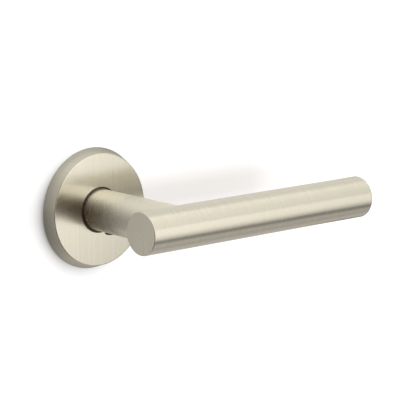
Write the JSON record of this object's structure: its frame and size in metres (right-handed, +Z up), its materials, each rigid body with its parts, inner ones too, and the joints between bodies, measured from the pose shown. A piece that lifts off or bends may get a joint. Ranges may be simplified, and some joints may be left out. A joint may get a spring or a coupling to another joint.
{
  "type": "door lever handle",
  "caption": "Round-bar door lever on a thin round rose, with a sprung cassette, a square spindle and bolt-through posts.",
  "frame": {"origin": "on the spindle axis, in the plane of the door face that the rose lies on", "axes": "+Y goes into the door along the spindle, the grip runs towards +X at rest, +Z is up"},
  "size_m": [0.1377, 0.1239, 0.055],
  "materials": {
    "satin_nickel": "satin nickel over steel tube, fine brushed grain",
    "turned_steel": "bright turned steel",
    "black_oxide_steel": "blackened steel",
    "zinc_plated_steel": "bright zinc plate",
    "yellow_passivate": "yellow passivated zinc plate",
    "spring_steel": "oiled spring steel",
    "cast_zinc": "die-cast zinc, as cast",
    "black_nylon": "moulded black nylon"
  },
  "bodies": {
    "rose": {"rose_cover": "satin_nickel", "neck_ring": "black_nylon", "base_plate": "cast_zinc", "bearing_bush": "black_nylon", "return_spring": "spring_steel", "spring_plate": "zinc_plated_steel", "plate_rivets": "zinc_plated_steel", "stop_pins": "turned_steel", "cover_snap_ring": "spring_steel", "bolt_posts": "zinc_plated_steel", "wood_screws": "yellow_passivate"},
    "lever": {"grip_tube": "satin_nickel", "grip_end_cap": "satin_nickel", "grip_stub_cap": "satin_nickel", "neck_tube": "satin_nickel", "spindle_socket": "turned_steel", "set_screw": "black_oxide_steel", "spindle": "zinc_plated_steel", "spring_driver": "yellow_passivate", "shim_washer": "zinc_plated_steel", "retaining_circlip": "spring_steel"}
  },
  "joints": [
    {"name": "lever_turn", "type": "hinge", "parent": "rose", "child": "lever", "pos_m": [0, 0, 0], "axis": [0, 1, 0], "range_deg": [0, 45], "stiffness_Nm_per_rad": 0.6, "springref_deg": -51.57, "deforming": ["return_spring"]}
  ]
}
